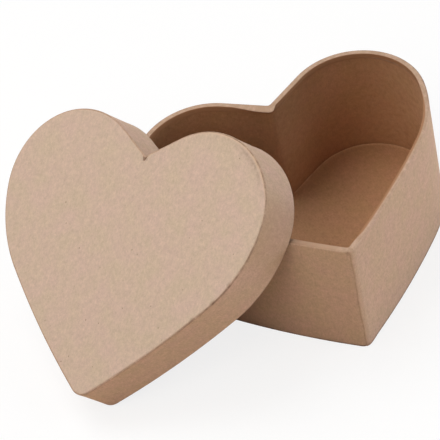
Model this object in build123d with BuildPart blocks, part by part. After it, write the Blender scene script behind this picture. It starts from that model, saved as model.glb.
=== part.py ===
"""Heart-shaped craft box in rigid board and kraft paper, with its lid leaning on the open base.

Millimetres. The origin is at the middle of the base's underside, +Z is up, and the heart's tip
points to -Y. The lid is drawn on its own tilted plane, with its tip on the floor and the lower
edge of its rim resting on the base's rim.
"""
import os
from math import cos, radians, sin, sqrt

from build123d import *

os.makedirs("parts", exist_ok=True)

# Heart outline: the outside of the base
tip_half_angle = 52.0
flank_radius = 380.0
flank_sweep = 10.0
side_radius = 57.0
side_sweep = 36.4
lobe_radius = 30.0
lobe_sweep = 128.6
tip_round = 3.6
notch_round = 1.8
notch_crease = 2.0
least_round = 0.5

# Materials
board = 1.8
paper = 0.35

# Base
base_height = 57.2
rim_round = 0.9
turn_in = 2.4
flap = 9.0
sheet_gap = 0.3
seam_reach = 6.5
seam_rise = 0.2

# Lid
lid_clearance = 0.75
lid_height = 21.3
top_sheet_inset = 0.5

# How the lid leans: heading from +Y towards +X, lift of its right side, and where its tip stands
lid_heading = 44.8
lid_bank = 13.7
lid_tip_x = -108.2
lid_tip_y = -33.1
lean_gap = 0.15
steepest_rise = 70.0
search_steps = 16

# Derived sizes
wall = 2 * paper + board
lid_inner = lid_clearance
lid_outer = lid_clearance + wall
board_round = rim_round - paper
floor_top = 2 * paper + board


def ahead(heading):
    """Unit vector along a heading, measured from +Y towards +X."""
    return Vector(sin(radians(heading)), cos(radians(heading)))


def outward(heading):
    """Unit vector to the right of a heading, which is out of the heart on its right half."""
    return Vector(cos(radians(heading)), -sin(radians(heading)))


# Right half of the heart, from the sharp tip to the notch: flat flank, rounder side, round lobe
heading_side = tip_half_angle - flank_sweep
heading_lobe = heading_side - side_sweep
heading_end = heading_lobe - lobe_sweep
flank_centre = -flank_radius * outward(tip_half_angle)
side_centre = flank_centre + (flank_radius - side_radius) * outward(heading_side)
lobe_centre = side_centre + (side_radius - lobe_radius) * outward(heading_lobe)
half_length = (lobe_centre.Y + lobe_radius) / 2


def flank_on_axis(radius):
    """Y of the point on the heart's axis that lies this far from the centre of the flank."""
    return flank_centre.Y - sqrt(radius**2 - flank_centre.X**2)


def tip_radius(grow):
    """Rounding of the tip on an outline grown by this much."""
    return max(tip_round + grow, least_round)


def notch_radius(grow):
    """Rounding of the notch on an outline grown by this much, never softer than a crease."""
    return min(max(notch_round - grow, least_round), notch_crease)


def tip_centre_y(grow):
    """Centre of the tip's rounding, on the heart's axis, on an outline grown by this much."""
    return flank_on_axis(flank_radius + grow - tip_radius(grow)) - half_length


def heart(grow, mode=Mode.ADD):
    """The heart's outline grown by this much, as a face in the sketch being drawn."""
    shift = Vector(0, -half_length)
    tip = Vector(0, flank_on_axis(flank_radius + grow))
    flank = flank_centre + (flank_radius + grow) * outward(tip_half_angle - flank_sweep / 2)
    flank_end = flank_centre + (flank_radius + grow) * outward(heading_side)
    side = side_centre + (side_radius + grow) * outward(heading_side - side_sweep / 2)
    side_end = side_centre + (side_radius + grow) * outward(heading_lobe)
    lobe = lobe_centre + (lobe_radius + grow) * outward(heading_lobe - lobe_sweep / 2)
    lobe_end = lobe_centre + (lobe_radius + grow) * outward(heading_end)
    notch = lobe_end - lobe_end.X / sin(radians(heading_end)) * ahead(heading_end)
    with BuildSketch(mode=Mode.PRIVATE) as outline:
        with BuildLine():
            ThreePointArc(tip + shift, flank + shift, flank_end + shift)
            ThreePointArc(flank_end + shift, side + shift, side_end + shift)
            ThreePointArc(side_end + shift, lobe + shift, lobe_end + shift)
            Line(lobe_end + shift, notch + shift)
            mirror(about=Plane.YZ)
        make_face()
        on_axis = [v for v in outline.vertices() if abs(v.X) < least_round / 100]
        on_axis.sort(key=lambda v: v.Y)
        fillet(on_axis[0], radius=tip_radius(grow))
        on_axis = [v for v in outline.vertices() if abs(v.X) < least_round / 100]
        fillet(on_axis[-1:], radius=notch_radius(grow))
    add(outline.sketch, mode=mode)


# Base: one bent board strip for the wall
with BuildPart() as base_wall_board:
    with BuildSketch(Plane.XY.offset(paper)):
        heart(-paper)
        heart(-paper - board, Mode.SUBTRACT)
    extrude(amount=base_height - 2 * paper)
    fillet(base_wall_board.edges().group_by(Axis.Z)[-1], radius=board_round)

# Base: floor board, inside the wall's foot
with BuildPart() as base_floor_board:
    with BuildSketch(Plane.XY.offset(paper)):
        heart(-paper - board)
    extrude(amount=board)

# Base: paper wrap, up the outside, over the rim and under the floor, its end lapped at the tip
with BuildPart() as base_wall_wrap:
    with BuildSketch(Plane.XY):
        heart(0)
        heart(-wall, Mode.SUBTRACT)
    extrude(amount=base_height)
    fillet(base_wall_wrap.edges().group_by(Axis.Z)[-1], radius=rim_round)
    add(base_wall_board.part, mode=Mode.SUBTRACT)
    with BuildSketch(Plane.XY):
        heart(-paper - board)
    extrude(amount=base_height - turn_in, mode=Mode.SUBTRACT)
    with BuildSketch(Plane.XY):
        heart(0)
        heart(-flap, Mode.SUBTRACT)
    extrude(amount=paper)
    with BuildSketch(Plane.XY):
        heart(seam_rise)
        heart(0, Mode.SUBTRACT)
        with Locations((0, -half_length)):
            Rectangle(seam_reach, half_length, align=(Align.MIN, Align.CENTER), mode=Mode.INTERSECT)
    extrude(amount=base_height - rim_round)

# Base: lining of the wall, from the floor up to the wrap's turned-in edge
with BuildPart() as base_wall_lining:
    with BuildSketch(Plane.XY.offset(floor_top)):
        heart(-paper - board)
        heart(-wall, Mode.SUBTRACT)
    extrude(amount=base_height - turn_in - floor_top)

# Base: lining of the floor
with BuildPart() as base_floor_lining:
    with BuildSketch(Plane.XY.offset(paper + board)):
        heart(-paper - board)
    extrude(amount=paper)

# Base: sheet under the floor, inside the wrap's flap
with BuildPart() as base_underside_sheet:
    with BuildSketch(Plane.XY):
        heart(-flap - sheet_gap)
    extrude(amount=paper)

# The lid's height inside, and a plain shell of it to lean
lid_board_top = lid_height - 2 * paper
lid_board_under = lid_board_top - board
with BuildPart() as lid_shell:
    with BuildSketch(Plane.XY):
        heart(lid_outer)
    extrude(amount=lid_height)
    with BuildSketch(Plane.XY):
        heart(lid_inner)
    extrude(amount=lid_board_under - paper, mode=Mode.SUBTRACT)


def lid_at(rise):
    """The plane of the lid's lower edge when its notch end is raised by this angle, tip on the floor."""
    axes = Plane(Rotation(0, 0, -lid_heading) * Rotation(rise, 0, 0) * Rotation(0, -lid_bank, 0))
    slope = Vector(axes.x_dir.Z, axes.y_dir.Z).normalized()
    lowest_x = -tip_radius(lid_outer) * slope.X
    lowest_y = tip_centre_y(lid_outer) - tip_radius(lid_outer) * slope.Y
    lowest = lowest_x * axes.x_dir + lowest_y * axes.y_dir
    return Plane(Vector(lid_tip_x, lid_tip_y) - lowest, x_dir=axes.x_dir, z_dir=axes.z_dir)


# Let the lid down on its tip until its rim all but touches the base's rim
clear_rise = steepest_rise
blocked_rise = 0.0
for step in range(search_steps):
    try_rise = (clear_rise + blocked_rise) / 2
    gap = lid_shell.part.moved(lid_at(try_rise).location).distance_to(base_wall_wrap.part)
    if gap > lean_gap:
        clear_rise = try_rise
    else:
        blocked_rise = try_rise
lid_plane = lid_at(clear_rise)

# Lid: one bent board strip for the rim
with BuildPart() as lid_rim_board:
    with BuildSketch(lid_plane.offset(paper)):
        heart(lid_outer - paper)
        heart(lid_inner + paper, Mode.SUBTRACT)
    extrude(amount=lid_board_top - paper)

# Lid: top board, inside the rim's upper edge
with BuildPart() as lid_top_board:
    with BuildSketch(lid_plane.offset(lid_board_under)):
        heart(lid_inner + paper)
    extrude(amount=board)

# Lid: paper wrap, from the top's margin down the outside and round the lower edge
with BuildPart() as lid_rim_wrap:
    with BuildSketch(lid_plane):
        heart(lid_outer)
        heart(lid_outer - paper, Mode.SUBTRACT)
    extrude(amount=lid_height - paper)
    with BuildSketch(lid_plane.offset(lid_board_top)):
        heart(lid_outer)
        heart(lid_outer - flap, Mode.SUBTRACT)
    extrude(amount=paper)
    with BuildSketch(lid_plane):
        heart(lid_outer)
        heart(lid_inner, Mode.SUBTRACT)
    extrude(amount=paper)
    with BuildSketch(lid_plane):
        heart(lid_inner + paper)
        heart(lid_inner, Mode.SUBTRACT)
    extrude(amount=turn_in)

# Lid: top sheet, its edge a little inside the lid's edge and its middle down on the board
with BuildPart() as lid_top_sheet:
    with BuildSketch(lid_plane.offset(lid_height - paper)):
        heart(lid_outer - top_sheet_inset)
    extrude(amount=paper)
    with BuildSketch(lid_plane.offset(lid_board_top)):
        heart(lid_outer - flap)
    extrude(amount=paper)

# Lid: lining under the top board
with BuildPart() as lid_top_lining:
    with BuildSketch(lid_plane.offset(lid_board_under - paper)):
        heart(lid_inner + paper)
    extrude(amount=paper)

# Lid: lining of the rim, from the wrap's turned-in edge up to the top's lining
with BuildPart() as lid_rim_lining:
    with BuildSketch(lid_plane.offset(turn_in)):
        heart(lid_inner + paper)
        heart(lid_inner, Mode.SUBTRACT)
    extrude(amount=lid_board_under - paper - turn_in)

pieces = {
    "base_wall_board": base_wall_board,
    "base_floor_board": base_floor_board,
    "base_wall_wrap": base_wall_wrap,
    "base_wall_lining": base_wall_lining,
    "base_floor_lining": base_floor_lining,
    "base_underside_sheet": base_underside_sheet,
    "lid_rim_board": lid_rim_board,
    "lid_top_board": lid_top_board,
    "lid_rim_wrap": lid_rim_wrap,
    "lid_top_sheet": lid_top_sheet,
    "lid_top_lining": lid_top_lining,
    "lid_rim_lining": lid_rim_lining,
}
for name, piece in pieces.items():
    piece.part.label = name
    export_step(piece.part, f"parts/{name}.step")
    print(name, "solids", len(piece.part.solids()), "volume mm3", round(piece.part.volume, 1))
print("lid rise", round(clear_rise, 2), "origin", lid_plane.origin, "normal", lid_plane.z_dir)
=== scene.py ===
# %% [markdown]
# # A heart-shaped craft box in kraft paper
#
# The object is a box for craft work: a heart-shaped base of stiff board, papered inside and out, and a
# shallow lid that leans on the open base. The board gives the size and stays hidden. What is seen is
# thin brown paper, wrapped round, folded over edges and glued down. So this lesson makes the papers, one
# by one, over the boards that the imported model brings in.

import bpy
import numpy as np
from mathutils import Matrix


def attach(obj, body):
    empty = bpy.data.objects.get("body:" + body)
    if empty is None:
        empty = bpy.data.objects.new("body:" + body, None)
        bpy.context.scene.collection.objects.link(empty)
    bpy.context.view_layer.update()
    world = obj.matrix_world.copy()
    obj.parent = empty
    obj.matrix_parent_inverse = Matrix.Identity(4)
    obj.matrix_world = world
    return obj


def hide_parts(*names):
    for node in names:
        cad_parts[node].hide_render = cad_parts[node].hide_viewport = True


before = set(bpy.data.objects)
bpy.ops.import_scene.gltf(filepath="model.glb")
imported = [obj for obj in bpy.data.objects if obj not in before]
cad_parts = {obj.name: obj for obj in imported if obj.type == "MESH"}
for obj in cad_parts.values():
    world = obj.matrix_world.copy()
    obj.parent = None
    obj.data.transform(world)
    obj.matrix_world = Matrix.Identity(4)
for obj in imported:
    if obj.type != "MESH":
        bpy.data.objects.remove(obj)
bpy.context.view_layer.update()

# %% [markdown]
# ## The heart's outline
#
# Every wall and sheet of the box follows the same heart, drawn a little larger or smaller. The right
# half runs from a rounded tip along an almost flat flank, a rounder side, a tight lobe and a short
# straight to a creased notch, and the left half mirrors it. A spline drawn by hand would only come near
# it. Written as arcs, the outline can be grown by any amount, and the same column of points stays at the
# same place on the heart, so that outlines of different growth can be joined into a surface.

# %% Sizes of the outline, in mm and degrees
MM = 0.001
TIP_HALF_ANGLE, FLANK_SWEEP, SIDE_SWEEP, LOBE_SWEEP = 52.0, 10.0, 36.4, 128.6
FLANK_RADIUS, SIDE_RADIUS, LOBE_RADIUS = 380.0, 57.0, 30.0
TIP_ROUND, NOTCH_ROUND, NOTCH_CREASE, LEAST_ROUND = 3.6, 1.8, 2.0, 0.5
SIDE_HEADING = TIP_HALF_ANGLE - FLANK_SWEEP
LOBE_HEADING = SIDE_HEADING - SIDE_SWEEP
NOTCH_HEADING = LOBE_HEADING - LOBE_SWEEP


def outward(heading):
    """Unit vector out of the heart's right half: a quarter turn to the right of the heading.

    A heading is in degrees, from +Y towards +X."""
    angle = np.radians(heading)
    return np.stack([np.cos(angle), -np.sin(angle)], -1)


flank_centre = -FLANK_RADIUS * outward(TIP_HALF_ANGLE)
side_centre = flank_centre + (FLANK_RADIUS - SIDE_RADIUS) * outward(SIDE_HEADING)
lobe_centre = side_centre + (SIDE_RADIUS - LOBE_RADIUS) * outward(LOBE_HEADING)
half_length = (lobe_centre[1] + LOBE_RADIUS) / 2
for centre in (flank_centre, side_centre, lobe_centre):
    centre[1] -= half_length
print("heart length", round(2 * half_length, 2), "mm, lobe centre", lobe_centre.round(2))

# %% Where the points lie: shares of a stretch, or headings along an arc
CROWD_TO_TIP = 1.3
tip_part = np.linspace(0, 1, 15)
flank_part = np.linspace(0, 1, 42)[1:-1] ** CROWD_TO_TIP
side_turn = np.linspace(SIDE_HEADING, LOBE_HEADING, 37)
lobe_turn = np.linspace(LOBE_HEADING, NOTCH_HEADING, 65)[1:]
notch_part = np.linspace(0, 1, 12)[1:-1, None]
notch_turn = np.linspace(NOTCH_HEADING, -90, 13)
print("points on tip, flank, side, lobe, straight and notch",
      [len(part) for part in (tip_part, flank_part, side_turn, lobe_turn, notch_part, notch_turn)])


# %% Hearts of any growth
def both_halves(half):
    """The right half followed by its mirror image, without the two points on the axis twice."""
    return np.concatenate([half, half[..., -2:0:-1, :] * (-1, 1)], -2)


def arc(centre_x, centre_y, radius, heading):
    """Points at a radius from a centre, each on the outward side of its heading."""
    out = outward(heading)
    return np.stack([centre_x + radius * out[..., 0], centre_y + radius * out[..., 1]], -1)


def tip_and_flank(grow):
    """For hearts grown by each amount: the tip's radius, the y of its centre, and the headings along the
    tip and the flank.

    The tip's rounding sits on the axis and touches the flank from inside, so that their centres are as
    far apart as their radii differ."""
    radius = np.maximum(TIP_ROUND + grow, LEAST_ROUND)
    apart = FLANK_RADIUS + grow - radius
    centre_y = flank_centre[1] - np.sqrt(apart**2 - flank_centre[0] ** 2)
    meet = np.degrees(np.arccos(-flank_centre[0] / apart))
    return radius, centre_y, 90 + tip_part * (meet - 90), meet + flank_part * (SIDE_HEADING - meet)


def heart_rings(grow):
    """Hearts grown by each amount: arcs about fixed centres, whose radius grows with the heart.

    The notch's rounding sits on the axis, as far from the lobe's centre as their two radii need."""
    grow = np.reshape(grow, (-1, 1)).astype(float)
    tip_radius, tip_y, tip_turn, flank_turn = tip_and_flank(grow)
    notch_radius = np.clip(NOTCH_ROUND - grow, LEAST_ROUND, NOTCH_CREASE)
    lean_x, lean_y = outward(NOTCH_HEADING)
    reach = LOBE_RADIUS + grow + notch_radius + lobe_centre[0] * lean_x
    tip = arc(0, tip_y, tip_radius, tip_turn)
    flank = arc(*flank_centre, FLANK_RADIUS + grow, flank_turn)
    side = arc(*side_centre, SIDE_RADIUS + grow, side_turn)
    lobe = arc(*lobe_centre, LOBE_RADIUS + grow, lobe_turn)
    notch = arc(0, lobe_centre[1] + reach / lean_y, -notch_radius, notch_turn)
    last = lobe[:, -1:] + notch_part * (notch[:, :1] - lobe[:, -1:])
    return both_halves(np.concatenate([tip, flank, side, lobe, last, notch], 1))


print("heart width", round(float(np.ptp(heart_rings(0)[..., 0])), 2), "mm")

# %% Normals, and the distance round the heart
half_headings = np.concatenate([
    *tip_and_flank(0.0)[2:], side_turn, lobe_turn, np.full(notch_part.size, NOTCH_HEADING), notch_turn])
normals = both_halves(outward(half_headings))
steps = len(normals)


def way_round(grow):
    """Distance from the tip to each point of one heart, and last the whole way round, in mm."""
    ring = heart_rings(grow)[0]
    return np.append(0, np.cumsum(np.linalg.norm(np.roll(ring, -1, 0) - ring, axis=1)))


way = way_round(0)
way, whole_way = way[:-1], way[-1]
share_round = way / whole_way
from_tip = np.where(share_round < 0.5, way, way - whole_way)
from_notch = way - whole_way / 2
print("points round the heart", steps, "way round", round(float(whole_way), 1), "mm")

# %% [markdown]
# ## Carrying a profile round the heart
#
# A paper's cross-section is drawn once, as pairs of growth and height, with a bend for each fold. Each
# pair becomes a whole heart at that height, and the hearts are joined in order. This is a loft, and it
# keeps the folds exactly as crisp or soft as the profile says. A curve with a bevel would also carry a
# profile, but it pinches where the heart turns sharply. The unevenness of glued paper comes from sums of
# sine waves with seeded phases, so that it is the same on each run.


# %% Profile pieces
def bend(grow, height, radius, start, stop, points):
    """Round fold of a profile: points on a circle, by angle from outward (0) to upward (90)."""
    angle = np.radians(np.linspace(start, stop, points))
    return np.stack([grow + radius * np.cos(angle), height + radius * np.sin(angle)], 1)


def run(first, last, points):
    """Straight stretch of a profile, both ends included."""
    return np.linspace(first, last, points)


def join(parts):
    """One profile from named parts, and a column with the name of the part that each row is in."""
    names = np.repeat(list(parts), [len(rows) for rows in parts.values()])
    return np.concatenate(list(parts.values())), names[:, None]


def carry(profile):
    """Hearts stacked up a profile: rows by points by x, y, z, in mm."""
    rings = heart_rings(profile[:, 0])
    heights = np.broadcast_to(profile[:, 1, None, None], rings.shape[:2] + (1,))
    return np.concatenate([rings, heights], -1)


def push(grid, amount):
    """Moves each point along the heart's outward normal by its amount, in mm."""
    grid[..., :2] += amount[..., None] * normals


print("a quarter bend", bend(0, 0, 1, 0, 90, 3).round(2).tolist())


# %% Steps, bells and windows
def ease(x):
    """0 below 0, 1 above 1, and a smooth S between: 3 x squared minus 2 x cubed."""
    x = np.clip(x, 0, 1)
    return x * x * (3 - 2 * x)


def bump(x, width):
    """Bell curve, 1 at 0: e to the minus square of x over width."""
    return np.exp(-(x / width) ** 2)


def between(x, start, rise, stop, fall):
    """Window, 0 outside start and stop and 1 inside: eased in over the rise and out over the fall."""
    return ease((x - start) / rise) * ease((stop - x) / fall)


print("halfway up a window's rise", between(1.0, 0, 2, 8, 3))

# %% Unevenness
MOST_LEAN, WAVES = 0.15, 6


def ragged(slow, fast, seed):
    """Uneven line round the heart, -1 to 1: sines of slow to fast cycles, weaker as they get faster."""
    cycles = np.arange(slow, fast + 1)
    phase = np.random.default_rng(seed).uniform(0, 2 * np.pi, cycles.size)
    line = (np.sin(2 * np.pi * share_round[:, None] * cycles + phase) / np.sqrt(cycles)).sum(1)
    return line / np.abs(line).max()


def hollows(height, slow, fast, seed):
    """Soft dips over a wall, 0 to 1: sines round the heart, each leaning over as it goes up."""
    draw = np.random.default_rng(seed)
    cycles = np.arange(slow, fast + 1)
    phase = draw.uniform(0, 2 * np.pi, cycles.size)
    lean = draw.uniform(-MOST_LEAN, MOST_LEAN, cycles.size)
    angle = 2 * np.pi * share_round[:, None] * cycles + phase + lean * height[..., None]
    wall = (np.sin(angle) / np.sqrt(cycles)).sum(2)
    return 0.5 + 0.5 * wall / np.abs(wall).max()


def swell(grid, length, seed):
    """Soft waves over a flat sheet, -1 to 1: plane waves about this long, in seeded directions."""
    draw = np.random.default_rng(seed)
    way_to = draw.uniform(0, 2 * np.pi, WAVES)
    count = 2 * np.pi / (length * draw.uniform(0.6, 1.6, WAVES))
    along = grid[..., :1] * np.cos(way_to) + grid[..., 1:2] * np.sin(way_to)
    return np.sin(along * count + draw.uniform(0, 2 * np.pi, WAVES)).sum(-1) / WAVES


try_line = ragged(2, 10, seed=7)
print("a ragged line runs from", try_line.min().round(2), "to", try_line.max().round(2))

# %% [markdown]
# ## From a grid to a mesh
#
# A grid closes on itself round the heart. A wrap also closes along its profile, like a bent tube. A
# sheet closes at a point in the middle of its top and of its underside. Bridging edge loops by hand
# would give the same faces, but here the faces, the paper map and the masks all follow from the row and
# the step. The paper map is a UV map in metres that lies on the paper as it was before it was folded, so
# the fibres follow every fold. Masks are attributes: painted shade in deep brown, wear with painted light
# and shade, and darker painted shade.


# %% Paper map of a wrap and of a sheet
def wrap_map(profile, grow):
    """Distance round the heart and distance along the profile, in metres."""
    loop = np.append(profile, profile[:1], 0)
    rise = np.append(0, np.cumsum(np.linalg.norm(np.diff(loop, axis=0), axis=1)))
    return np.stack(np.meshgrid(way_round(grow), rise), -1) * MM


def sheet_map(grid):
    """The sheet's own x and y, in metres."""
    return np.append(grid, grid[:, :1], 1)[..., :2] * MM


print("once round on the paper map", round(float(way_round(0)[-1] * MM), 3), "m")


# %% Faces of a grid
def quads(rows, paper_map, is_wrap):
    """Faces between neighbouring points, row by row, and their corners on the paper map."""
    row, step = np.meshgrid(np.arange(rows if is_wrap else rows - 1), np.arange(steps), indexing="ij")
    next_row, next_step = (row + 1) % rows, (step + 1) % steps
    faces = np.stack([
        row * steps + step, row * steps + next_step,
        next_row * steps + next_step, next_row * steps + step], -1)
    corners = np.stack([
        paper_map[row, step], paper_map[row, step + 1],
        paper_map[row + 1, step + 1], paper_map[row + 1, step]], -2)
    return faces.reshape(-1, 4).tolist(), corners.reshape(-1, 2)


def fans(rows, paper_map):
    """Triangles from the first and the last row of a sheet to its two middles, and their corners on the
    paper map."""
    step = np.arange(steps)
    next_step = (step + 1) % steps
    last = (rows - 1) * steps
    middle = np.full(steps, rows * steps)
    faces = np.concatenate([
        np.stack([middle, next_step, step], 1),
        np.stack([last + step, last + next_step, middle + 1], 1)])
    on_map = np.broadcast_to(paper_map[[0, -1]].mean(1)[:, None], (2, steps, 2))
    corners = np.concatenate([
        np.stack([on_map[0], paper_map[0, 1:], paper_map[0, :-1]], 1),
        np.stack([paper_map[-1, :-1], paper_map[-1, 1:], on_map[1]], 1)])
    return faces.tolist(), corners.reshape(-1, 2)


print("faces round one row", steps)

# %% Mesh of a paper
SHARP_FROM = np.radians(38)


def paper_mesh(name, grid, paper_map, masks, is_wrap):
    """Mesh with a quad between neighbouring points, and for a sheet a fan at each end of its rows."""
    points = grid.reshape(-1, 3)
    faces, corners = quads(len(grid), paper_map, is_wrap)
    if not is_wrap:
        fan_faces, fan_corners = fans(len(grid), paper_map)
        faces += fan_faces
        corners = np.append(corners, fan_corners, 0)
        points = np.append(points, grid[[0, -1]].mean(1), 0)
    mesh = bpy.data.meshes.new(name)
    mesh.from_pydata((points * MM).tolist(), [], faces)
    mesh.uv_layers.new(name="paper").uv.foreach_set("vector", corners.astype(np.float32).ravel())
    for mask, values in masks.items():
        on_points = np.zeros(len(points), np.float32)
        on_points[:len(grid) * steps] = np.broadcast_to(values, grid.shape[:2]).ravel()
        mesh.attributes.new(mask, "FLOAT", "POINT").data.foreach_set("value", on_points)
    mesh.polygons.foreach_set("use_smooth", np.ones(len(mesh.polygons), bool))
    mesh.set_sharp_from_angle(angle=SHARP_FROM)
    mesh.validate()
    return mesh


# %% A piece of paper in its place
def volume_of(mesh):
    """Signed volume in mm3, from the triangles' corners: positive when the faces point outwards."""
    mesh.calc_loop_triangles()
    corner = np.empty(len(mesh.loop_triangles) * 3, np.int32)
    mesh.loop_triangles.foreach_get("vertices", corner)
    points = np.empty(len(mesh.vertices) * 3, np.float32)
    mesh.vertices.foreach_get("co", points)
    a, b, c = points.reshape(-1, 3)[corner].reshape(-1, 3, 3).swapaxes(0, 1) / MM
    return float((a * np.cross(b, c)).sum() / 6)


def glue_down(mesh, finish, body, node):
    """Object of a paper mesh, with its finish, riding on a body in the place of a CAD node."""
    piece = bpy.data.objects.new(mesh.name, mesh)
    bpy.context.scene.collection.objects.link(piece)
    mesh.materials.append(finish)
    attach(piece, body)
    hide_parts(node)
    print(mesh.name, "faces", len(mesh.polygons), "volume", round(volume_of(mesh)), "mm3")


# %% [markdown]
# ## Kraft paper
#
# Kraft paper is brown wood pulp. Close up it shows short fibres that lie mostly one way, a soft mottle,
# clouds that lean to pink or to straw, and a few dark specks of bark. A picture of paper would repeat
# and could not follow the folds. Noise on the paper map does both: stretched noise for the fibres,
# broader noise for the mottle and the clouds, and small cells for the specks. All the papers share one
# node group, with values of their own.


# %% Node helpers
def srgb(red, green, blue):
    """Linear colour, with alpha, of a screen colour from 0 to 255."""
    screen = np.array([red, green, blue]) / 255
    linear = np.where(screen < 0.04045, screen / 12.92, ((screen + 0.055) / 1.055) ** 2.4)
    return (*linear.tolist(), 1.0)


def place(tree, kind, inputs=(), **settings):
    """New node, with its settings, and with each input linked to a socket or set to a value."""
    node = tree.nodes.new(kind)
    for name, value in settings.items():
        setattr(node, name, value)
    for name, value in dict(inputs).items():
        if isinstance(value, bpy.types.NodeSocket):
            tree.links.new(value, node.inputs[name])
        else:
            node.inputs[name].default_value = value
    return node


def mix(tree, blend, amount, first, second):
    """Colour of a Mix node: first, blended with second by amount."""
    node = place(tree, "ShaderNodeMix", {0: amount, 6: first, 7: second},
                 data_type="RGBA", blend_type=blend)
    return node.outputs[2]


def maths(tree, kind, first, second):
    """Value of a Math node of one kind, such as ADD or MULTIPLY."""
    return place(tree, "ShaderNodeMath", {0: first, 1: second}, operation=kind).outputs[0]


def spread(tree, value, old, new):
    """Value moved from an old range to a new one, and held inside it."""
    return place(tree, "ShaderNodeMapRange", {
        "Value": value, "From Min": old[0], "From Max": old[1],
        "To Min": new[0], "To Max": new[1]}).outputs[0]


def noise(tree, vector, scale, detail, roughness):
    """Factor of a Noise Texture, with its scale in cycles per metre."""
    return place(tree, "ShaderNodeTexNoise", {
        "Vector": vector, "Scale": scale, "Detail": detail, "Roughness": roughness}).outputs["Fac"]


def stretched(tree, vector, across):
    """Vector with its second axis scaled, which draws a pattern out along that axis."""
    return place(tree, "ShaderNodeMapping", {"Vector": vector, "Scale": (1, across, 1)}).outputs[0]


def new_group(name, inputs, outputs):
    """Empty node group with named sockets: its tree, its input node and its output node."""
    tree = bpy.data.node_groups.new(name, "ShaderNodeTree")
    for label, kind in inputs.items():
        tree.interface.new_socket(label, in_out="INPUT", socket_type="NodeSocket" + kind)
    for label, kind in outputs.items():
        tree.interface.new_socket(label, in_out="OUTPUT", socket_type="NodeSocket" + kind)
    return tree, tree.nodes.new("NodeGroupInput").outputs, tree.nodes.new("NodeGroupOutput").inputs


print("middle grey in linear light", round(srgb(128, 128, 128)[0], 3))

# %% Shared effect: kraft pulp, its noises and specks
pulp, given, puts_out = new_group(
    "kraft_pulp",
    {"Vector": "Vector", "Paper": "Color", "Fibres": "Float", "Specks": "Float"},
    {"Color": "Color", "Roughness": "Float", "Height": "Float"})
flat = given["Vector"]
mottle_way = stretched(pulp, flat, 0.8)
clouds = noise(pulp, flat, scale=85, detail=4, roughness=0.5)
mottle = noise(pulp, mottle_way, scale=420, detail=3, roughness=0.6)
fibres = noise(pulp, stretched(pulp, flat, 0.6), scale=1250, detail=3, roughness=0.6)
grain = noise(pulp, flat, scale=1900, detail=2, roughness=0.6)
bark = place(pulp, "ShaderNodeTexVoronoi", {"Vector": mottle_way, "Scale": 300.0})
few = place(pulp, "ShaderNodeSeparateColor", {"Color": bark.outputs["Color"]}).outputs["Red"]
near = spread(pulp, bark.outputs["Distance"], (0.03, 0.11), (1, 0))
specks = maths(pulp, "MULTIPLY", near, spread(pulp, few, (0.66, 0.98), (0, 1)))
specks = maths(pulp, "MULTIPLY", specks, given["Specks"])
print("kraft_pulp nodes for noise and specks", len(pulp.nodes))

# %% Shared effect: kraft pulp, its colour and relief
PINK, STRAW, BARK = (1.03, 0.99, 1.012, 1), (0.99, 1.002, 0.945, 1), (0.34, 0.29, 0.25, 1)
tone = mix(pulp, "MIX", spread(pulp, clouds, (0.36, 0.64), (0, 1)), PINK, STRAW)
colour = mix(pulp, "MULTIPLY", 1.0, given["Paper"], tone)
for pattern, old, new in ((mottle, (0.3, 0.7), (0.87, 1.13)),
                          (fibres, (0.28, 0.72), (0.83, 1.17)),
                          (grain, (0.25, 0.75), (0.9, 1.1))):
    colour = mix(pulp, "MULTIPLY", given["Fibres"], colour, spread(pulp, pattern, old, new))
dark_bark = mix(pulp, "MULTIPLY", 1.0, given["Paper"], BARK)
colour = mix(pulp, "MIX", specks, colour, dark_bark)
relief = maths(pulp, "ADD", fibres, maths(pulp, "MULTIPLY", grain, 0.6))
pulp.links.new(colour, puts_out["Color"])
pulp.links.new(spread(pulp, grain, (0.2, 0.8), (0.74, 0.92)), puts_out["Roughness"])
pulp.links.new(maths(pulp, "SUBTRACT", relief, specks), puts_out["Height"])
print("kraft_pulp nodes", len(pulp.nodes))

# %% [markdown]
# ## Wear, painted light and painted shade
#
# Edges are worn, and the finishes also paint light and shade: highlights on some edges, light and shade
# on the linings, and shade in small gaps, in seams, along edges and at the foot. On the real box wear,
# light and shade come and go along an edge. A mask alone would draw an even line, so the group breaks a
# mask up with noise before a finish uses it.

# %% Shared effect: broken mask
breakup_tree, given, puts_out = new_group(
    "broken_mask", {"Vector": "Vector", "Mask": "Float"}, {"Mask": "Float"})
patches = noise(breakup_tree, given["Vector"], scale=420, detail=4, roughness=0.65)
patches = spread(breakup_tree, patches, (0.34, 0.6), (0.25, 1))
breakup_tree.links.new(maths(breakup_tree, "MULTIPLY", given["Mask"], patches), puts_out["Mask"])
print("broken_mask nodes", len(breakup_tree.nodes))

# %% [markdown]
# ## Finishes
#
# The lid's top, the outer wraps and the linings are the same kind of paper with their own tone, and the
# linings are a deeper brown. Where a wrap is turned in over the rim, a deep brown is painted on it as
# shade.
# The boards inside are grey-brown chip board. A picture for each paper would need unfolding and painting,
# and one finish with three masks does it with a few values: painted shade in deep brown, wear with
# painted light and shade, and darker painted shade. A sheet that keeps its CAD mesh has no paper map, so
# its finish reads Object coordinates instead.

# %% Paper finish
# Painted shade: a deep brown, and a darker brown for shade in gaps, seams, pits, corners and at the foot.
PAINTED_SHADE_BROWN, PAINTED_DARK_SHADE = srgb(164, 122, 90), srgb(80, 52, 35)
RELIEF, RELIEF_DEPTH, SPECULAR = 0.5, 0.00012, 0.22


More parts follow.
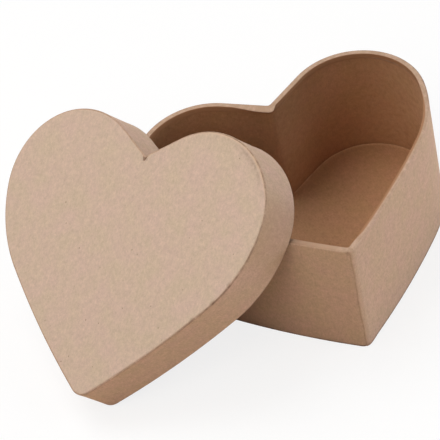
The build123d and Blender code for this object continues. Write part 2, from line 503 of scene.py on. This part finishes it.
def paper_finish(name, paper, wear_and_painted_light, fibres, specks, mapped=True):
    """Material of one paper: pulp on the paper map, with painted shade in deep brown, wear with painted
    light and shade in the given tint, and darker painted shade, each where its mask says."""
    finish = bpy.data.materials.new(name)
    finish.use_nodes = True
    tree = finish.node_tree
    shader = tree.nodes["Principled BSDF"]
    if mapped:
        where = place(tree, "ShaderNodeUVMap", uv_map="paper").outputs[0]
    else:
        where = tree.nodes.new("ShaderNodeTexCoord").outputs["Object"]
    kraft = place(tree, "ShaderNodeGroup", node_tree=pulp)
    tree.links.new(where, kraft.inputs["Vector"])
    for label, value in {"Paper": paper, "Fibres": fibres, "Specks": specks}.items():
        kraft.inputs[label].default_value = value
    # Painted shade in deep brown, where the mesh's mask says.
    painted_shade_amount = place(tree, "ShaderNodeAttribute", attribute_name="painted_shade").outputs["Fac"]
    colour = mix(tree, "MIX", painted_shade_amount, kraft.outputs["Color"], PAINTED_SHADE_BROWN)
    # Wear with painted light and shade in the paper's own tint, then darker painted shade, both broken up
    # by noise.
    for mask, tint in {"wear_and_painted_light": wear_and_painted_light, "painted_dark_shade": PAINTED_DARK_SHADE}.items():
        seen = place(tree, "ShaderNodeAttribute", attribute_name=mask)
        broken = place(tree, "ShaderNodeGroup", node_tree=breakup_tree)
        tree.links.new(where, broken.inputs["Vector"])
        tree.links.new(seen.outputs["Fac"], broken.inputs["Mask"])
        colour = mix(tree, "MIX", broken.outputs["Mask"], colour, tint)
    hill = place(tree, "ShaderNodeBump", {
        "Height": kraft.outputs["Height"], "Strength": RELIEF, "Distance": RELIEF_DEPTH})
    tree.links.new(colour, shader.inputs["Base Color"])
    tree.links.new(kraft.outputs["Roughness"], shader.inputs["Roughness"])
    tree.links.new(hill.outputs[0], shader.inputs["Normal"])
    shader.inputs["Specular IOR Level"].default_value = SPECULAR
    print("finish", name, "nodes", len(tree.nodes))
    return finish


# %% The papers and the board
# Tints of the wear and painted light mask: a pale edge with a painted highlight for the lid's top, a
# darker tone for the wraps, mostly painted shade on the rim's top, and a paler lining for painted light.
PALE_EDGE_AND_HIGHLIGHT, WRAP_SHADE_AND_WEAR, PAINTED_LIGHT_LINING = srgb(214, 184, 154), srgb(178, 148, 124), srgb(206, 166, 130)
top_finish = paper_finish("lid_top_kraft", srgb(201, 179, 162), PALE_EDGE_AND_HIGHLIGHT, fibres=0.52, specks=0.8)
wrap_finish = paper_finish("wrap_kraft", srgb(199, 169, 149), WRAP_SHADE_AND_WEAR, fibres=0.6, specks=0.45)
lining_finish = paper_finish("lining_kraft", srgb(173, 131, 97), PAINTED_LIGHT_LINING, fibres=0.6, specks=0.4)
foot_finish = paper_finish(
    "foot_kraft", srgb(196, 164, 143), PALE_EDGE_AND_HIGHLIGHT, fibres=0.6, specks=0.5, mapped=False)
board_finish = paper_finish(
    "chip_board", srgb(150, 132, 112), PALE_EDGE_AND_HIGHLIGHT, fibres=0.9, specks=1.0, mapped=False)

# %% Boards and the sheet under the base keep their CAD shape
for node_name, finish in {
        "base_wall_board": board_finish, "base_floor_board": board_finish,
        "lid_rim_board": board_finish, "lid_top_board": board_finish,
        "base_underside_sheet": foot_finish}.items():
    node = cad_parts[node_name]
    if not node.material_slots:
        node.data.materials.append(finish)
    node.material_slots[0].material = finish
    print(node_name, "->", finish.name)

# %% [markdown]
# ## The base's wrap
#
# One strip of paper goes round the outside of the base. It is folded under the floor, and over the rim
# to a narrow turned-in edge. Its ends lap at the heart's tip, where the upper end shows as a thin uneven
# step. At the notch, where the paper had to be snipped to go over the rim, it stands off as a small lip.
# A plain extrusion would have none of this. Here the profile has the folds, with a crisp inner edge on
# the rim. The lap, the lip, the ragged turned-in edge and the slight hollows are pushed into the grid.

# %% Profile of the base's wrap
RIM, WALL, PAPER, FLAP, TURN_IN = 57.2, 2.5, 0.35, 9.0, 2.4
OUTER_ROUND, INNER_ROUND, FOOT_ROUND = 0.9, 0.35, 0.6
BOARD_IN, BOARD_ROUND = WALL - PAPER, OUTER_ROUND - PAPER
SHOULDER, LINING_TOP = RIM - OUTER_ROUND, RIM - TURN_IN
wrap_profile, wrap_part = join({
    "fold": bend(-FOOT_ROUND, FOOT_ROUND, FOOT_ROUND, -90, 0, 6),
    "outside": run((0, 1.4), (0, SHOULDER - 0.7), 50),
    "rim": np.concatenate([bend(-OUTER_ROUND, SHOULDER, OUTER_ROUND, 0, 90, 8),
                           run((-1.1, RIM), (-1.95, RIM), 5),
                           bend(INNER_ROUND - WALL, RIM - INNER_ROUND, INNER_ROUND, 90, 180, 6)]),
    "turn_in": run((-2.55, SHOULDER - 0.4), (-2.62, LINING_TOP - 0.1), 6),
    "edge": np.array([(-2.58, LINING_TOP - 0.25), (-2.51, LINING_TOP - 0.25), (-2.51, LINING_TOP)]),
    "inside": np.concatenate([
        run((-BOARD_IN, LINING_TOP), (-BOARD_IN, SHOULDER - 0.3), 3),
        bend(BOARD_ROUND - BOARD_IN, SHOULDER, BOARD_ROUND, 180, 90, 5),
        bend(-OUTER_ROUND, SHOULDER, BOARD_ROUND, 90, 0, 5),
        run((-PAPER, SHOULDER - 0.9), (-PAPER, PAPER), 6),
        run((-1, PAPER), (-FLAP, PAPER), 8), run((-FLAP, 0), (-1.2, 0), 9)])})
base_wrap = carry(wrap_profile)
wrap_out, wrap_up = wrap_profile.T[..., None]
print("base wrap rows", len(wrap_profile))

# %% Hollows, the lap at the tip and the uneven rim
HOLLOW, LAP_STEP, NICK, SAG, TEAR = 0.2, 0.2, 0.4, 0.12, 0.15
outer_side = np.isin(wrap_part, ["fold", "outside"])
over_edge = np.isin(wrap_part, ["rim", "turn_in"])
on_outside = (wrap_part == "outside") * between(wrap_up, 0, 8, RIM - 1, 6)
push(base_wrap, -HOLLOW * on_outside * hollows(wrap_up, 3, 13, seed=4))
lap_line = -0.5 + 0.16 * np.sin(wrap_up / 5.3) + 0.1 * np.sin(wrap_up / 1.7 + 1)
past_lap = from_tip - lap_line
lap = ease(past_lap / 0.3) * (1 - ease((from_tip - 4) / 5))
push(base_wrap, LAP_STEP * lap * outer_side)
nick = bump(from_tip + 1.3, 0.55) * bump(wrap_up - SHOULDER + 0.2, 0.55)
push(base_wrap, -NICK * nick * np.isin(wrap_part, ["outside", "rim"]))
base_wrap[..., 2] -= SAG * over_edge * ease((wrap_up - LINING_TOP) / 1.5) * (1 + ragged(2, 10, seed=7))
torn = np.isin(wrap_part, ["turn_in", "edge"]) * (wrap_up < LINING_TOP - 0.01)
base_wrap[..., 2] += TEAR * torn * (ragged(4, 26, seed=8) - 1)
print("rim's height", base_wrap[wrap_part[:, 0] == "rim", :, 2].max(0).min().round(2), "to", RIM, "mm")

# %% Lip at the notch
LIP, LIP_DROOP = 1.35, 0.35
by_notch = between(from_notch, -2.5, 3, 17, 14)
lip = by_notch * over_edge * ease((-1 - wrap_out) / 1.3) * ease((wrap_up - RIM + 1.6) / 1.2)
push(base_wrap, -LIP * lip)
base_wrap[..., 2] -= LIP_DROOP * lip
print("lip reaches in", round(LIP * float(lip.max()), 2), "mm")

# %% Masks of the base's wrap
over_rim = np.isin(wrap_part, ["rim", "turn_in", "edge"])
on_rim, on_wall = wrap_part == "rim", wrap_part == "outside"
crown = on_rim * ease((wrap_up - RIM + 0.4) / 0.3)
on_lip = by_notch * (wrap_up > RIM - 0.9)
# Painted shade in deep brown: the inside of the rim, on the right flank also the inner part of its top,
# and at about half strength the rim's top on the left flank, where the lid leans over it.
shade_from = -2.3 + 0.9 * between(from_tip, 4, 8, 100, 20)
shaded_rim_inside = ease((shade_from - wrap_out) / 0.15) * over_rim * (1 - on_lip)
left_crown = crown * between(from_tip, -85, 15, -2, 6)
inner_edge = (wrap_part == "turn_in") * bump(wrap_up - LINING_TOP + 0.1, 0.5)
far_edge = on_rim * bump(wrap_out + 0.3, 0.2) * ease((abs(from_tip) - 80) / 20)
# Wear and painted light: the rim's top painted darker as shade, a tint on the lip, a paler line along the
# turned-in edge and a darker edge of the lap. Darker painted shade: under the lap's step, in the nick, on
# the rim's far outer edge and along the foot.
wrap_masks = {
    "painted_shade": np.maximum(shaded_rim_inside, 0.55 * left_crown),
    "wear_and_painted_light": crown * (1 - shaded_rim_inside) + 0.5 * on_lip * over_rim
    + 0.8 * inner_edge * between(from_tip, 92, 12, 142, 12) + 0.35 * on_wall * bump(past_lap - 0.4, 0.3),
    "painted_dark_shade": 0.25 * on_wall * bump(past_lap - 0.02, 0.16) + 0.9 * nick + 0.8 * far_edge
    + outer_side * bump(wrap_up - 0.3, 0.7)}
glue_down(paper_mesh("base_wrap", base_wrap, wrap_map(wrap_profile, 0), wrap_masks, is_wrap=True),
          wrap_finish, "base", "base_wall_wrap")

# %% [markdown]
# ## The base's linings
#
# The lining of the wall is a strip that stops under the turned-in edge. Light is painted on it round the
# right lobe and beside the notch, and shade at its foot and round the left lobe. The lining of the floor
# is a heart of paper whose margin climbs a little up the wall, with a thin painted highlight along it
# round the floor. Both are lofts again, and the floor's rows shrink towards the middle until they meet in
# a point. A filled outline would be quicker, but it has no points inside to bend.

# %% Lining of the wall
FLOOR_TOP, LINING_HOLLOW = 2.5, 0.25
lining_profile, lining_part = join({
    "back": run((-BOARD_IN, FLOOR_TOP), (-BOARD_IN, LINING_TOP), 6),
    "face": run((-WALL, LINING_TOP), (-WALL, FLOOR_TOP), 48)})
base_lining = carry(lining_profile)
lining_up = lining_profile[:, 1:]
on_face = lining_part == "face"
mid_face = on_face * between(lining_up, 5, 8, LINING_TOP - 2, 8)
push(base_lining, -LINING_HOLLOW * mid_face * hollows(lining_up, 2, 11, seed=21))
# Painted light on the lining round the right lobe and beside the notch; painted shade at its foot, in the
# corner with the floor, and round the left lobe.
lit_lobe = between(from_tip, 78, 14, 150, 28)
lit_notch = between(from_notch, -24, 16, -0.3, 1.5)
shaded_lobe = between(from_notch, 1, 6, 80, 20)
lining_masks = {
    "wear_and_painted_light": on_face * (0.42 * lit_lobe + 0.3 * lit_notch),
    "painted_dark_shade": on_face * (0.45 * bump(lining_up - FLOOR_TOP, 1.6) + 0.2 * shaded_lobe)}
glue_down(paper_mesh("base_lining", base_lining, wrap_map(lining_profile, -WALL),
                     lining_masks, is_wrap=True),
          lining_finish, "base", "base_wall_lining")

# %% Sheets that close in the middle
MIDDLE, INNERMOST = np.array([0.0, 10.0]), 0.03


def inwards(grow, height, first, last, points):
    """Rows that shrink one heart from one share of its size to another."""
    keep = np.linspace(first, last, points)
    return np.stack([np.full(points, grow), np.full(points, height), keep], 1)


def full_size(profile):
    """Rows of hearts at their whole size, from pairs of growth and height."""
    return np.column_stack([profile, np.ones(len(profile))])


def sheet(*parts):
    """Grid of a sheet, from the middle of its underside out to its edge and in to the middle of its top,
    and three columns that describe its rows.

    The columns are growth, height and how far out of the middle the heart is kept, 0 to 1."""
    rows = np.concatenate(parts)
    grid = carry(rows[:, :2])
    grid[..., :2] = MIDDLE + rows[:, 2, None, None] * (grid[..., :2] - MIDDLE)
    return grid, *rows.T[..., None]


print("shares of three rows that shrink", inwards(0, 0, 1, INNERMOST, 3)[:, 2])

# %% Lining of the floor
FLOOR_UNDER, FLOOR_WAVE, MARGIN_WAVE = 2.15, 0.05, 0.18
floor_paper, grow, height, _ = sheet(
    inwards(-BOARD_IN, FLOOR_UNDER, INNERMOST, 1, 14),
    full_size([(-2.15, 2.5), (-2.51, 2.5), (-2.51, 3.25), (-2.56, 3.36), (-2.66, 3.3),
               (-2.78, 3.02), (-2.98, 2.76), (-3.3, 2.58), (-3.9, 2.5), (-5.0, 2.47)]),
    inwards(-6.5, 2.47, 1, INNERMOST, 44))
on_top = (height > 2.3) & (grow < -4.9)
floor_paper[..., 2] += FLOOR_WAVE * on_top * (swell(floor_paper, 42, seed=31) - 1)
margin = bump(height - 3.3, 0.3) * (height > 2.6)
floor_paper[..., 2] += MARGIN_WAVE * margin * ragged(5, 40, seed=33)
# A thin painted highlight along the margin that climbs the wall.
glue_down(paper_mesh("base_floor_paper", floor_paper, sheet_map(floor_paper),
                     {"wear_and_painted_light": 0.9 * margin}, is_wrap=False),
          lining_finish, "base", "base_floor_lining")

# %% [markdown]
# ## The lid's wrap
#
# The lid is made like the base, upside down: a strip goes round its rim, turned in at the lower edge and
# folded over the top as a margin. The lid leans, so its papers are worked out flat, in the lid's own
# plane, and then set on that plane's three axes. Turning the finished object would give the same
# picture, but its place has to be in its mesh.

# %% The lid's plane
LID_ORIGIN = np.array([-73.1997, -1.03838, 32.0161])
LID_AXES = np.array([[0.59731647, -0.7772981, 0.19753658],
                     [0.58770528, 0.59182262, 0.55167788],
                     [-0.54572479, -0.213433, 0.8103276]])


def on_lid(grid):
    """Points of the lid's plane in the frame: along its first, second and third axis from its origin."""
    return grid @ LID_AXES + LID_ORIGIN


print("lid tilt", round(float(np.degrees(np.arccos(LID_AXES[2, 2]))), 1), "degrees")

# %% Profile of the lid's wrap
LID_OUT, LID_IN, LID_TOP, LID_EDGE = 3.25, 0.75, 20.95, 0.45
RIM_OUT, RIM_IN = LID_OUT - PAPER, LID_IN + PAPER
TOP_BOARD, MARGIN_END = LID_TOP - PAPER, LID_OUT - FLAP
lid_profile, lid_part = join({
    "skirt": run((LID_OUT, 0.7), (LID_OUT, LID_TOP - LID_EDGE), 26),
    "edge": bend(LID_OUT - LID_EDGE, LID_TOP - LID_EDGE, LID_EDGE, 8, 90, 9),
    "margin": run((2.4, LID_TOP), (MARGIN_END, LID_TOP), 14),
    "inside": np.concatenate([
        run((MARGIN_END, TOP_BOARD), (RIM_OUT, TOP_BOARD), 8), run((RIM_OUT, 20), (RIM_OUT, PAPER), 5),
        run((2.4, PAPER), (RIM_IN, PAPER), 3), run((RIM_IN, 1), (RIM_IN, TURN_IN), 3)]),
    "turn_in": run((LID_IN, TURN_IN), (LID_IN, 0.65), 5),
    "foot": np.concatenate([bend(LID_IN + FOOT_ROUND, FOOT_ROUND, FOOT_ROUND, 180, 270, 6),
                            bend(LID_OUT - FOOT_ROUND, FOOT_ROUND, FOOT_ROUND, 270, 350, 6)])})
lid_wrap = carry(lid_profile)
lid_out, lid_up = lid_profile.T[..., None]
print("lid wrap rows", len(lid_profile))

# %% Hollows, and the pit at the notch
SKIRT_HOLLOW, PIT = 0.18, 0.3
on_skirt = (lid_part == "skirt") * between(lid_up, 0, 5, LID_TOP, 5)
push(lid_wrap, -SKIRT_HOLLOW * on_skirt * hollows(lid_up, 3, 15, seed=41))
pit = bump(from_notch, 1.5) * bump(lid_out - 2.2, 1.1) * (lid_part == "margin")
lid_wrap[..., 2] -= PIT * pit
print("pit's depth", round(PIT * float(pit.max()), 2), "mm")

# %% Masks of the lid's wrap
NICK_SPOTS = np.array([58.5, 69.0, 78.5])
spot = bump(from_tip[:, None] - NICK_SPOTS, 0.9).sum(1)
seam = bump(lid_out - 2.95, 0.4) * np.isin(lid_part, ["edge", "margin"])
right_side = 0.5 + 0.5 * between(from_tip, 35, 30, 160, 20)
skirt_shade_side = between(from_tip, 78, 20, 122, 12)
lid_foot = (lid_part == "foot") * bump(lid_up - 0.1, 0.5)
# Painted shade in deep brown on the right part of the skirt. Wear and painted light: the upper part of
# the rounded edge tinted darker. Darker painted shade: a line along the top edge, stronger on the right
# and at the nicks, in the pit at the notch, and along the foot.
lid_masks = {
    "painted_shade": 0.28 * skirt_shade_side * (lid_part == "skirt"),
    "wear_and_painted_light": 0.5 * bump(lid_up - TOP_BOARD, 0.5) * (lid_part == "edge"),
    "painted_dark_shade": np.clip(seam * (0.5 * right_side + 0.2 * spot) + 1.5 * pit + 0.9 * lid_foot, 0, 1)}
glue_down(paper_mesh("lid_wrap", on_lid(lid_wrap), wrap_map(lid_profile, LID_OUT),
                     lid_masks, is_wrap=True),
          wrap_finish, "lid", "lid_rim_wrap")

# %% [markdown]
# ## The lid's top sheet
#
# A heart of paper is glued over the margin of the wrap, with its edge just inside the lid's edge. The
# cut edge stands up where the glue missed it, on the right lobe, and is nicked in a few places. A bump
# map would lose this in profile, so the edge is part of the grid.

# %% Rows of the top sheet
SHEET_IN, SHEET_OUT, SHEET_UNDER, SHEET_TOP = -5.8, 2.75, 20.955, 21.12
top_paper, grow, height, keep = sheet(
    inwards(SHEET_IN, TOP_BOARD, INNERMOST, 1, 14),
    full_size([(out, SHEET_UNDER) for out in (SHEET_IN, -2.0, 1.0, 2.2, 2.65)]),
    full_size([(SHEET_OUT, 20.99), (SHEET_OUT, 21.04), (2.7, 21.09), (2.56, 21.11)]),
    full_size([(out, SHEET_TOP) for out in (2.3, 1.9, 1.3, 0.3, -0.9, -2.4, -4.0, -6.0)]),
    inwards(-8.0, SHEET_TOP, 1, INNERMOST, 50))
upper = height > 21.0
print("top sheet rows", len(top_paper))

# %% Cut edge, raised lobe, notch and soft waves
CUT, NOTCH_CUT, SPOT_CUT, LIFT, LEAST_LIFT, TOP_WAVE = 0.12, 1.5, 0.25, 0.12, 0.02, 0.05
raised = between(from_tip, 112, 12, 165, 14)
cut = CUT * (ragged(8, 60, seed=51) - 1) + CUT * raised * ragged(15, 50, seed=52)
cut -= NOTCH_CUT * bump(from_notch, 1.4) + SPOT_CUT * spot
push(top_paper, cut * ease((grow + 0.4) / 3) * ((grow > 1.5) & (height > 20.94)))
lift = LIFT * raised * (1 + 0.4 * ragged(15, 60, seed=53)) + LEAST_LIFT
top_paper[..., 2] += upper * lift * ease((grow + 0.1) / 2.6) * (keep > 0.99)
top_paper[..., 2] += TOP_WAVE * upper * ease((2.3 - grow) / 5) * swell(top_paper, 38, seed=54)
# Painted highlight along the sheet's cut edge, strongest where it stands up on the right lobe. Painted
# shade in the nicks, and a painted shadow just inside the raised edge on the right lobe.
lobe_shadow = bump(from_tip - 132, 11) * bump(grow - 1.0, 0.9)
top_masks = {
    "wear_and_painted_light": 0.7 * bump(grow - 2.6, 0.35) * upper * (0.25 + 0.75 * raised),
    "painted_dark_shade": upper * (0.4 * spot * bump(grow - 2.5, 0.5) + 0.4 * lobe_shadow)}
glue_down(paper_mesh("lid_top_paper", on_lid(top_paper), sheet_map(top_paper), top_masks, is_wrap=False),
          top_finish, "lid", "lid_top_sheet")

# %% [markdown]
# ## Inside the lid
#
# The lid's inside is seen from below and when it is lifted off. It has the same two linings as the base,
# a strip round the rim and a heart under the top. Scaled copies of the base's linings would not fit,
# because the lid's heart is grown and not scaled, so these are made anew in the same two ways.

# %% Lining of the lid's rim
STRIP_FOOT, STRIP_TOP = 2.45, 18.4
strip_profile = np.concatenate([
    run((RIM_IN, STRIP_FOOT), (RIM_IN, STRIP_TOP), 4),
    run((LID_IN, STRIP_TOP), (LID_IN, STRIP_FOOT), 16)])
glue_down(paper_mesh("lid_skirt_lining", on_lid(carry(strip_profile)), wrap_map(strip_profile, LID_IN),
                     {}, is_wrap=True),
          lining_finish, "lid", "lid_rim_lining")

# %% Lining under the lid's top
ROOF_FACE, ROOF_BACK, ROOF_WAVE = 18.47, 18.8, 0.06
roof_paper, _, height, keep = sheet(
    inwards(0.2, ROOF_FACE, INNERMOST, 1, 40),
    full_size([(1.05, 18.45), (1.05, ROOF_BACK)]),
    inwards(0.2, ROOF_BACK, 1, INNERMOST, 10))
below = (height < 18.6) * ease((0.99 - keep) / 0.1)
roof_paper[..., 2] += ROOF_WAVE * below * (1 + swell(roof_paper, 40, seed=61))
glue_down(paper_mesh("lid_roof_paper", on_lid(roof_paper), sheet_map(roof_paper), {}, is_wrap=False),
          lining_finish, "lid", "lid_top_lining")

# %% [markdown]
# ## Camera
#
# The photograph was taken from in front and above, with a long lens and the camera a little rolled. The
# camera's place, its heading, its dip below the horizon and its roll give its three axes directly, which
# is plainer than an aim constraint and gives the roll as well.

# %% Camera
CAMERA_PLACE = np.array([-0.26591, -1.12969, 1.21087])
CAMERA_HEADING, CAMERA_DIP, CAMERA_ROLL = 11.3882, 45.3672, -12.0238
LENS_PIXELS, PICTURE_PIXELS, SENSOR, FARTHEST = 4000, 440, 36.0, 50
dip, roll = np.radians(CAMERA_DIP), np.radians(CAMERA_ROLL)
level = np.append(outward(CAMERA_HEADING), 0)
ahead = np.append(outward(CAMERA_HEADING - 90), 0)
looks = np.cos(dip) * ahead - np.sin(dip) * np.array([0, 0, 1])
upright = np.cross(level, looks)
right = np.cos(roll) * level + np.sin(roll) * upright
camera_data = bpy.data.cameras.new("photo_camera")
camera_data.sensor_width = SENSOR
camera_data.lens = LENS_PIXELS / PICTURE_PIXELS * SENSOR
camera_data.clip_end = FARTHEST
camera = bpy.data.objects.new("photo_camera", camera_data)
bpy.context.scene.collection.objects.link(camera)
axes = np.eye(4)
axes[:3] = np.stack([right, np.cross(right, looks), -looks, CAMERA_PLACE], 1)
camera.matrix_world = Matrix(axes.tolist())
bpy.context.scene.camera = camera
print("lens", round(camera_data.lens, 1), "mm")

# %% [markdown]
# ## Floor and world
#
# The box stands on a white table in soft studio light. The table throws a warm light back on the outer
# walls, which the inside of the box doesn't get, so the inside is darker by itself. The world is
# brightest overhead, as under a soft ceiling. More light would also give a white background, but it
# would bleach the paper. So only the camera sees the table and the world as near white, and the table
# keeps the shadow.


# %% Rays that see the background
def seen_directly(tree):
    """1 for rays from the camera, or by way of a mirror or glass."""
    rays = tree.nodes.new("ShaderNodeLightPath").outputs
    mirror = maths(tree, "MAXIMUM", rays["Is Glossy Ray"], rays["Is Transmission Ray"])
    return maths(tree, "MAXIMUM", rays["Is Camera Ray"], mirror)


# %% White table
TABLE_HALF, TABLE_GAP, TABLE_GLOW = 4.0, 0.00005, 0.82
WHITE, CREAM = (1, 1, 1, 1), (0.83, 0.69, 0.53, 1)
table_mesh = bpy.data.meshes.new("white_table")
table_mesh.from_pydata([(x * TABLE_HALF, y * TABLE_HALF, -TABLE_GAP)
                        for x, y in ((-1, -1), (1, -1), (1, 1), (-1, 1))], [], [(0, 1, 2, 3)])
table = bpy.data.objects.new("white_table", table_mesh)
bpy.context.scene.collection.objects.link(table)
table_finish = bpy.data.materials.new("white_table")
table_finish.use_nodes = True
tree = table_finish.node_tree
tree.nodes.clear()
seen = seen_directly(tree)
matt = place(tree, "ShaderNodeBsdfDiffuse", {"Color": mix(tree, "MIX", seen, CREAM, WHITE)})
glow = place(tree, "ShaderNodeEmission", {"Color": WHITE, "Strength": 1.0})
blend = place(tree, "ShaderNodeMixShader", {
    0: maths(tree, "MULTIPLY", seen, TABLE_GLOW), 1: matt.outputs[0], 2: glow.outputs[0]})
place(tree, "ShaderNodeOutputMaterial", {"Surface": blend.outputs[0]})
table_mesh.materials.append(table_finish)
print("table", 2 * TABLE_HALF, "m wide")

# %% World
LOW_LIGHT, HIGH_LIGHT = 0.03, 0.09
world = bpy.data.worlds.new("studio")
bpy.context.scene.world = world
world.use_nodes = True
tree = world.node_tree
ray = tree.nodes.new("ShaderNodeTexCoord").outputs["Generated"]
upward = place(tree, "ShaderNodeSeparateXYZ", {0: ray}).outputs["Z"]
ceiling = spread(tree, upward, (0, 1), (LOW_LIGHT, HIGH_LIGHT))
background = tree.nodes["Background"].inputs
background["Color"].default_value = WHITE
tree.links.new(maths(tree, "MAXIMUM", ceiling, seen_directly(tree)), background["Strength"])
print("world light", LOW_LIGHT, "to", HIGH_LIGHT)

# %% [markdown]
# ## Lamps
#
# A key lamp behind on the left lights the lid's top, and a warm fill in front on the left takes the edge
# off its shadow. Two weaker, cooler fills on the right model the walls, and a low strip stands for light
# that comes back from the side at table height and reaches under the lid. Sun or point lamps would give
# hard shadows. Wide area lamps give the soft ones of a studio.

# %% Soft lamps
AIM = np.array([-0.03, 0.0, 0.03])


def soft_lamp(name, where, width, height, watts, colour):
    """Area lamp that faces the middle of the box."""
    data = bpy.data.lights.new(name, "AREA")
    data.shape, data.size, data.size_y = "RECTANGLE", width, height
    data.energy, data.color = watts, colour
    lamp = bpy.data.objects.new(name, data)
    bpy.context.scene.collection.objects.link(lamp)
    away = np.array(where) - AIM
    away /= np.linalg.norm(away)
    across = np.cross([0, 0, 1], away)
    across /= np.linalg.norm(across)
    axes = np.eye(4)
    axes[:3] = np.stack([across, np.cross(away, across), away, where], 1)
    lamp.matrix_world = Matrix(axes.tolist())
    print(name, watts, "W")


soft_lamp("back_left_key", (-0.35, 0.45, 1.25), 0.9, 0.9, 12.4, (1, 1, 1))
soft_lamp("front_left_fill", (-0.66, -0.52, 1.02), 0.9, 0.9, 6.0, (1, 0.89, 0.78))
soft_lamp("back_right_fill", (1.1, 0.5, 0.45), 0.7, 0.7, 2.3, (0.9, 0.96, 1))
soft_lamp("front_right_fill", (0.83, -0.48, 0.8), 0.6, 0.6, 2.4, (0.94, 0.97, 1))
soft_lamp("low_right_strip", (1.17, -0.43, 0.075), 0.8, 0.12, 5.2, (0.83, 0.93, 1))

# %% [markdown]
# ## The picture
#
# The Standard view shows a colour as it is written. A view with more contrast looks livelier, but it
# would shift the browns.

# %% Picture settings and the end
bpy.context.scene.view_settings.view_transform = "Standard"
